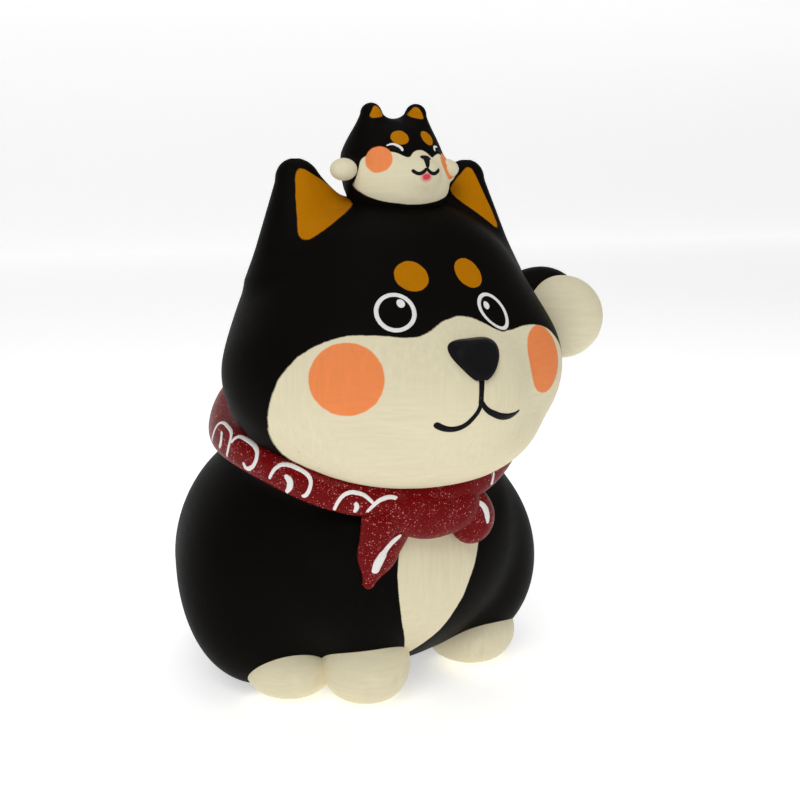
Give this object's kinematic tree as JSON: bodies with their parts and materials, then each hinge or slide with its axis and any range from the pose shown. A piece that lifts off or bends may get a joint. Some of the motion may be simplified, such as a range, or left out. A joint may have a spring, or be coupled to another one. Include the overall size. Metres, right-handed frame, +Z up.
{
  "type": "figural animal coin bank",
  "caption": "Seated dog coin bank with a raised paw, a scarf and a puppy on its head; coin slot in the back of the head and a pull-out stopper in the base.",
  "frame": {"origin": "on the table plane, on the dog's middle plane, under the middle of the belly", "axes": "+X to the dog's left, +Y to its back, +Z up"},
  "size_m": [0.1485, 0.1694, 0.2],
  "materials": {
    "black_paint": "satin hand-painted near-black on moulded vinyl",
    "cream_paint": "satin hand-painted cream white with brush marks",
    "red_paint": "dark red with fine pale flecks",
    "stopper_rubber": "soft translucent white rubber"
  },
  "bodies": {
    "figure": {"body_shell": "black_paint", "head_shell": "black_paint", "right_foreleg": "black_paint", "right_forefoot": "cream_paint", "right_hind_foot": "cream_paint", "left_hind_foot": "cream_paint", "tail": "black_paint", "scarf_band": "red_paint", "scarf_knot": "red_paint", "scarf_tail_right": "red_paint", "scarf_tail_left": "red_paint", "nose": "black_paint", "raised_arm": "black_paint", "raised_paw": "cream_paint", "puppy": "black_paint", "puppy_right_paw": "cream_paint", "puppy_left_paw": "cream_paint"},
    "stopper": {"stopper": "stopper_rubber"}
  },
  "joints": [
    {"name": "stopper_pull", "type": "slide", "parent": "figure", "child": "stopper", "axis": [0, 0, -1], "range_m": [0, 0.016]}
  ]
}
